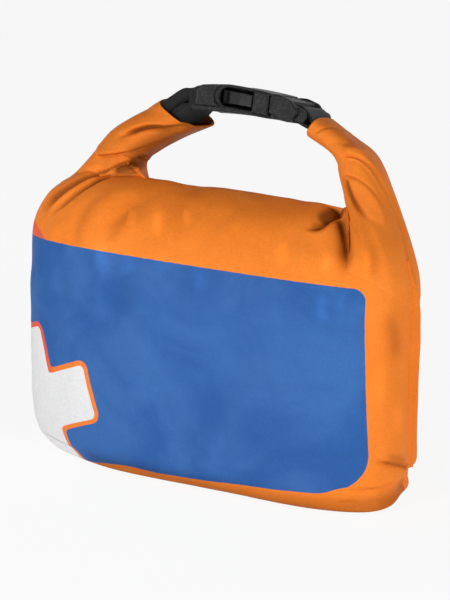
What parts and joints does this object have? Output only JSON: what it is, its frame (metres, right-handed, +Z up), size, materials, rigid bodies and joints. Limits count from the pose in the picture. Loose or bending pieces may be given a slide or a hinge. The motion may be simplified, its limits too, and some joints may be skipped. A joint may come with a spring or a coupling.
{
  "type": "roll-top first aid pouch",
  "caption": "Soft roll-top first aid pouch: a filled waterproof bag with a printed cross, its rolled mouth bent up and clipped into a carry loop.",
  "frame": {"origin": "middle of the face that the pouch stands on", "axes": "+X along the pouch to its right side, +Y from its printed front to its back, +Z up"},
  "size_m": [0.159, 0.0673, 0.1439],
  "materials": {
    "orange_fabric": "coated woven, satin",
    "blue_print": "printed on the woven fabric, satin",
    "white_print": "printed on the woven fabric, satin",
    "orange_print": "printed on the woven fabric, satin",
    "black_webbing": "woven, matt",
    "black_plastic": "fine moulded texture",
    "orange_thread": "spun thread",
    "cotton": "woven, matt",
    "sachet_paper": "matt",
    "leaflet_paper": "matt",
    "gauze": "open weave",
    "tape": "matt",
    "core_plastic": "moulded",
    "glove_blue": "thin film",
    "steel": "brushed",
    "foil": "metallised film"
  },
  "bodies": {
    "pouch": {"front_panel": "orange_fabric", "back_panel": "orange_fabric", "base_panel": "orange_fabric", "left_side_seam": "orange_fabric", "right_side_seam": "orange_fabric", "rolled_mouth": "orange_fabric", "stiffening_strip": "black_webbing", "triangular_bandage": "cotton", "compress_packs": "sachet_paper", "instruction_leaflet": "leaflet_paper", "gauze_rolls": "gauze", "wound_dressing": "sachet_paper", "adhesive_tape": "tape", "tape_core_ring": "core_plastic", "plaster_pack": "sachet_paper", "glove_pack": "glove_blue", "tweezers": "steel", "rescue_blanket": "foil"},
    "carry_loop": {"left_roll_leg": "orange_fabric", "right_roll_leg_root": "orange_fabric", "left_webbing_loop": "black_webbing", "buckle_socket": "black_plastic"},
    "release_half": {"right_roll_leg_tip": "orange_fabric", "right_webbing_loop": "black_webbing", "buckle_plug": "black_plastic"},
    "front_latch": {"front_latch_arm": "black_plastic"},
    "back_latch": {"back_latch_arm": "black_plastic"}
  },
  "joints": [
    {"name": "loop_tilt", "type": "hinge", "parent": "pouch", "child": "carry_loop", "pos_m": [0, 0.015, 0.112], "axis": [1, 0, 0], "range_deg": [-60, 60]},
    {"name": "buckle_release", "type": "slide", "parent": "carry_loop", "child": "release_half", "axis": [1, 0, 0], "range_m": [0, 0.022], "deforming": ["front_latch_arm", "back_latch_arm"]},
    {"name": "front_latch_press", "type": "hinge", "parent": "release_half", "child": "front_latch", "pos_m": [0.018, 0.01283, 0.13919], "axis": [0, -0.3256, -0.9455], "range_deg": [0, 10], "stiffness_Nm_per_rad": 0.2},
    {"name": "back_latch_press", "type": "hinge", "parent": "release_half", "child": "back_latch", "pos_m": [0.018, 0.03345, 0.13209], "axis": [0, 0.3256, 0.9455], "range_deg": [0, 10], "stiffness_Nm_per_rad": 0.2}
  ]
}
